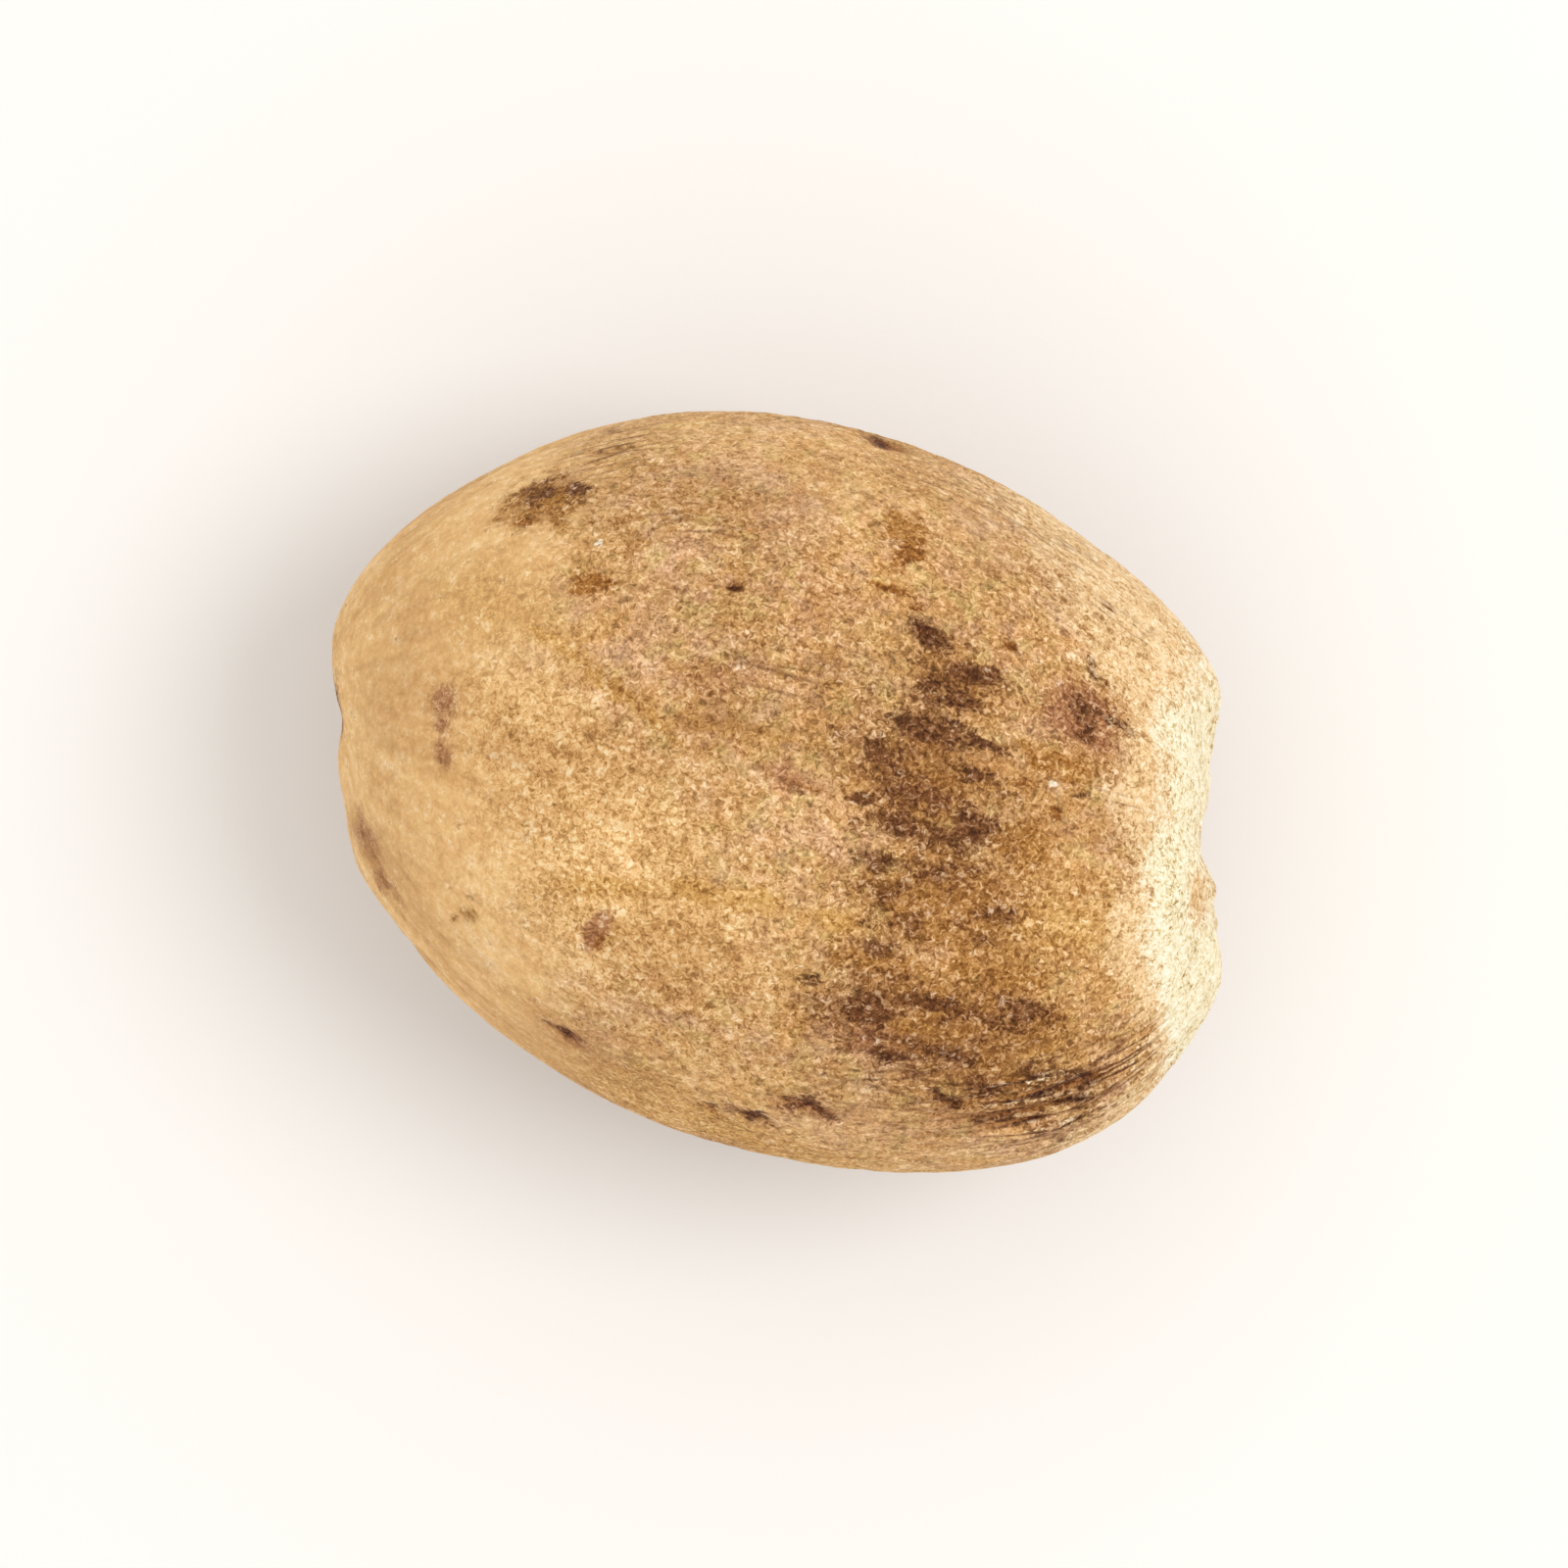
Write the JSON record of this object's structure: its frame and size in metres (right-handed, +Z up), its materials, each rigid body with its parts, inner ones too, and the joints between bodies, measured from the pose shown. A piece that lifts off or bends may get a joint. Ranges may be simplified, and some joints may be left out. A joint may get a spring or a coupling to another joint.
{
  "type": "whole nutmeg",
  "caption": "Whole dried nutmeg: a shelled, egg-shaped seed lying on its side, with a pressed-in scar at its blunt end and a furrow along its underside.",
  "frame": {"origin": "on the surface the seed lies on, under the middle of its outline", "axes": "+X along the seed's long axis, to the scar at its blunt end; +Y across it; +Z up"},
  "size_m": [0.025, 0.019, 0.0176],
  "materials": {
    "nutmeg_skin": "dry, dusty, fine-grained tan seed skin, matt"
  },
  "bodies": {
    "root": {"nutmeg": "nutmeg_skin"}
  },
  "joints": []
}
